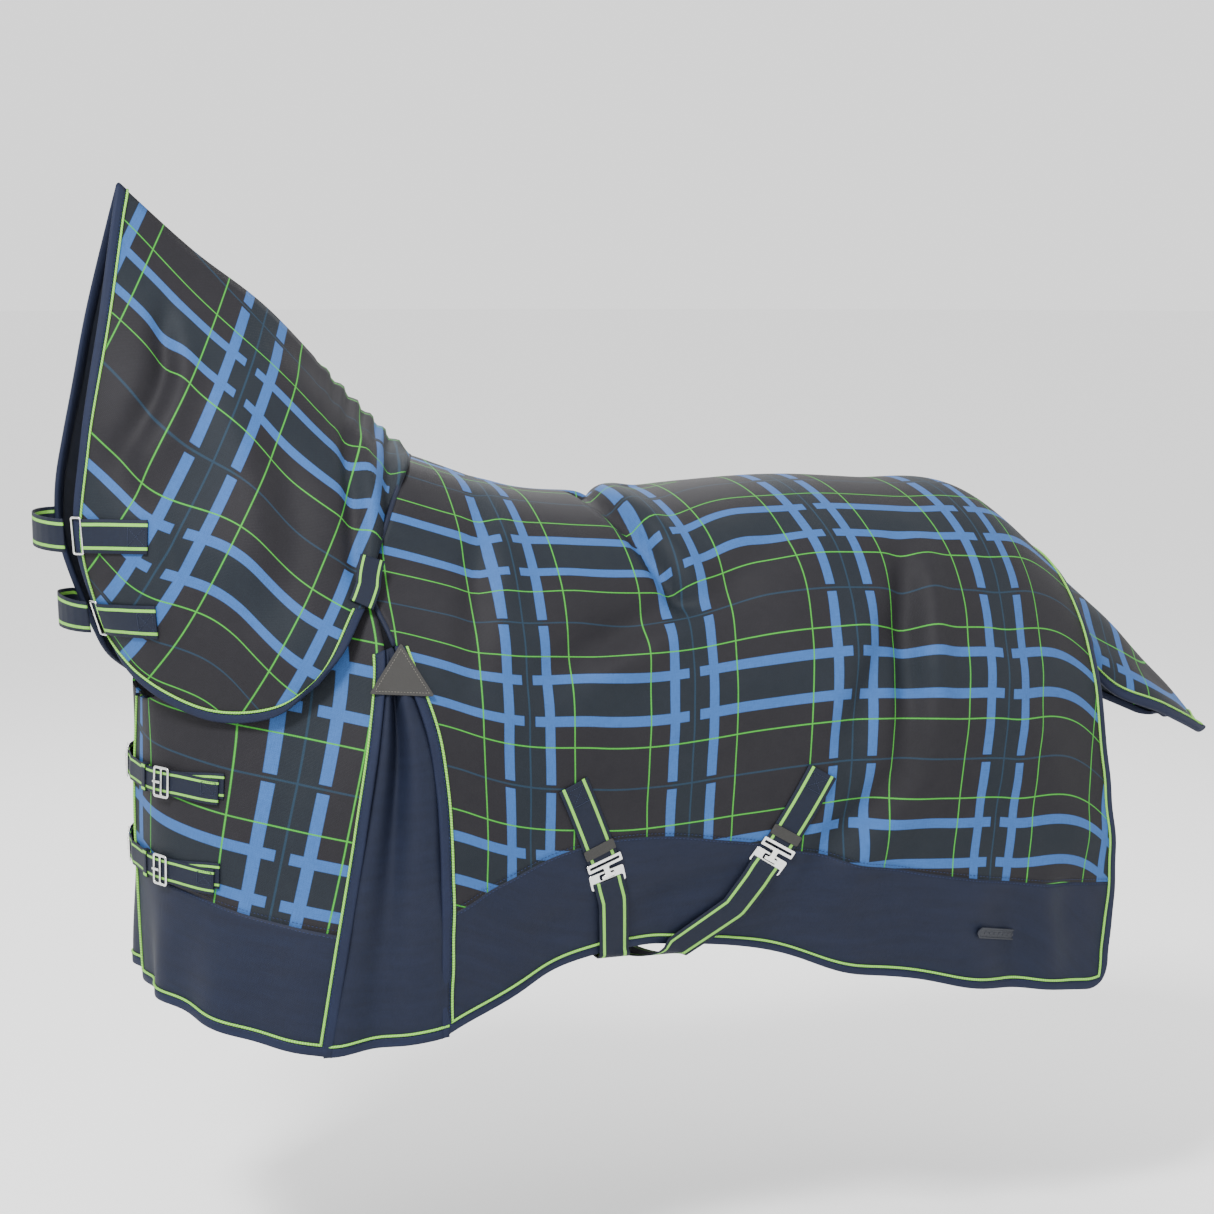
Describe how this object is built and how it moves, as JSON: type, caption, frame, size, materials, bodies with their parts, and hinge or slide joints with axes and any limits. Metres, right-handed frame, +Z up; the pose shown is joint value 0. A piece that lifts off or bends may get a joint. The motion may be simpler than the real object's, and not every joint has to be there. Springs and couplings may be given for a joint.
{
  "type": "horse turnout rug",
  "caption": "Full-neck horse rug in worn shape: checked cloth, plain lower band, buckled chest straps, hooked belly straps, throat straps and a tail flap.",
  "frame": {"origin": "on the crest line at the withers, where the neck cover meets the rug and the horse's back carries it", "axes": "+X towards the horse's tail, +Y towards its off (right) side, +Z up"},
  "size_m": [2.0046, 0.7102, 1.3053],
  "materials": {
    "checked_cloth": "woven ripstop outer with a blue and green check on charcoal",
    "navy_cloth": "plain navy woven outer",
    "lining_cloth": "smooth dark polyester lining",
    "binding_tape": "navy edge tape with a lime piping",
    "webbing": "dark polypropylene webbing with two lime stripes",
    "leather": "dark grained leather look",
    "steel": "bright nickel-plated steel",
    "rubber": "soft moulded navy rubber"
  },
  "bodies": {
    "rug": {"rug_panel_left": "checked_cloth", "rug_panel_right": "checked_cloth", "chest_panel_left": "checked_cloth", "chest_panel_right": "checked_cloth", "lower_band_left": "navy_cloth", "lower_band_right": "navy_cloth", "chest_band_left": "navy_cloth", "chest_band_right": "navy_cloth", "shoulder_gusset_left": "navy_cloth", "shoulder_gusset_right": "navy_cloth", "rug_lining_left": "lining_cloth", "rug_lining_right": "lining_cloth", "rug_binding_left": "binding_tape", "rug_binding_right": "binding_tape", "chest_binding_left": "binding_tape", "chest_binding_right": "binding_tape", "chest_strap_base_upper": "webbing", "chest_strap_base_lower": "webbing", "chest_tongue_upper": "webbing", "chest_tongue_lower": "webbing", "chest_strap_right_upper": "webbing", "chest_strap_right_lower": "webbing", "surcingle_billet_front": "webbing", "surcingle_billet_rear": "webbing", "surcingle_web_front": "webbing", "surcingle_web_rear": "webbing", "chest_buckle_upper": "steel", "chest_buckle_lower": "steel", "chest_slot_plate_upper": "steel", "chest_slot_plate_lower": "steel", "surcingle_slot_plate_front": "steel", "surcingle_slot_plate_rear": "steel", "surcingle_slider_front": "steel", "surcingle_slider_rear": "steel", "gusset_patch_left": "leather", "gusset_patch_right": "leather", "hem_badge": "rubber"},
    "neck_cover": {"neck_panel_left": "checked_cloth", "neck_panel_right": "checked_cloth", "neck_lining_left": "lining_cloth", "neck_lining_right": "lining_cloth", "neck_binding_left": "binding_tape", "neck_binding_right": "binding_tape", "neck_tab_left": "webbing", "neck_tab_right": "webbing", "neck_anchor_upper": "webbing", "neck_anchor_lower": "webbing", "neck_strap_upper": "webbing", "neck_strap_lower": "webbing"},
    "tail_flap": {"tail_flap": "checked_cloth"},
    "neck_ring_upper": {"neck_ring_upper": "steel"},
    "chest_prong_upper": {"chest_prong_upper": "steel"},
    "chest_hook_upper": {"chest_hook_upper": "steel"},
    "chest_keeper_upper": {"chest_keeper_upper": "webbing"},
    "neck_ring_lower": {"neck_ring_lower": "steel"},
    "chest_prong_lower": {"chest_prong_lower": "steel"},
    "chest_hook_lower": {"chest_hook_lower": "steel"},
    "chest_keeper_lower": {"chest_keeper_lower": "webbing"},
    "surcingle_hook_front": {"surcingle_hook_front": "steel"},
    "surcingle_hook_rear": {"surcingle_hook_rear": "steel"}
  },
  "joints": [
    {"name": "neck_lower", "type": "hinge", "parent": "rug", "child": "neck_cover", "pos_m": [-0.12, 0, -0.36], "axis": [0, -1, 0], "range_deg": [0, 8]},
    {"name": "tail_flap_lift", "type": "hinge", "parent": "rug", "child": "tail_flap", "pos_m": [1.0904, 0, -0.183], "axis": [0, -1, 0], "range_deg": [0, 60]},
    {"name": "neck_ring_upper_swing", "type": "hinge", "parent": "neck_cover", "child": "neck_ring_upper", "pos_m": [-0.5233, -0.1055, -0.0904], "axis": [-0.0736, -0.0357, 0.9966], "range_deg": [0, 40]},
    {"name": "chest_prong_upper_swing", "type": "hinge", "parent": "rug", "child": "chest_prong_upper", "pos_m": [-0.4213, -0.1291, -0.4592], "axis": [0.0408, 0.0303, 0.9987], "range_deg": [0, 70]},
    {"name": "chest_hook_upper_swing", "type": "hinge", "parent": "rug", "child": "chest_hook_upper", "pos_m": [-0.4406, 0.0389, -0.4596], "axis": [0.0283, 0.0018, 0.9996], "range_deg": [0, 50]},
    {"name": "chest_keeper_upper_slide", "type": "slide", "parent": "rug", "child": "chest_keeper_upper", "axis": [-0.1694, 0.9855, -0.0015], "range_m": [-0.006, 0.006]},
    {"name": "neck_ring_lower_swing", "type": "hinge", "parent": "neck_cover", "child": "neck_ring_lower", "pos_m": [-0.4961, -0.0933, -0.2149], "axis": [-0.3031, -0.1215, 0.9452], "range_deg": [0, 40]},
    {"name": "chest_prong_lower_swing", "type": "hinge", "parent": "rug", "child": "chest_prong_lower", "pos_m": [-0.426, -0.1289, -0.5917], "axis": [0.0164, 0.0147, 0.9998], "range_deg": [0, 70]},
    {"name": "chest_hook_lower_swing", "type": "hinge", "parent": "rug", "child": "chest_hook_lower", "pos_m": [-0.4409, 0.0389, -0.5922], "axis": [-0.0139, -0.0017, 0.9999], "range_deg": [0, 50]},
    {"name": "chest_keeper_lower_slide", "type": "slide", "parent": "rug", "child": "chest_keeper_lower", "axis": [-0.1359, 0.9907, -0.0037], "range_m": [-0.006, 0.006]},
    {"name": "surcingle_hook_front_swing", "type": "hinge", "parent": "rug", "child": "surcingle_hook_front", "pos_m": [0.2066, -0.322, -0.5836], "axis": [-0.9379, -0.0174, -0.3466], "range_deg": [0, 50]},
    {"name": "surcingle_hook_rear_swing", "type": "hinge", "parent": "rug", "child": "surcingle_hook_rear", "pos_m": [0.4935, -0.3301, -0.5816], "axis": [-0.8621, 0.0443, 0.5047], "range_deg": [0, 50]}
  ]
}
